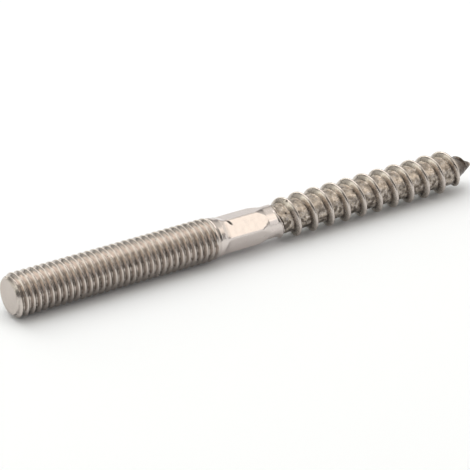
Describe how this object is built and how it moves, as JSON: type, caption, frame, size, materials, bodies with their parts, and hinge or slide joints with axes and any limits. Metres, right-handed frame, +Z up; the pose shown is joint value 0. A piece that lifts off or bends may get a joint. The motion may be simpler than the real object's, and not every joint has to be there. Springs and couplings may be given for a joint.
{
  "type": "hanger bolt",
  "caption": "Straight steel stud with a machine thread at one end, pressed drive flats at mid-length and a coarse wood thread with a gimlet point at the other end.",
  "frame": {"origin": "on the floor, under the middle of the stud's length", "axes": "+X along the stud from the machine end to the wood point, +Z up, with the stud lying on the crests of its threads"},
  "size_m": [0.1, 0.008, 0.008],
  "materials": {
    "stainless_steel": "bare stainless steel, satin from thread rolling"
  },
  "bodies": {
    "root": {"stud": "stainless_steel"}
  },
  "joints": []
}
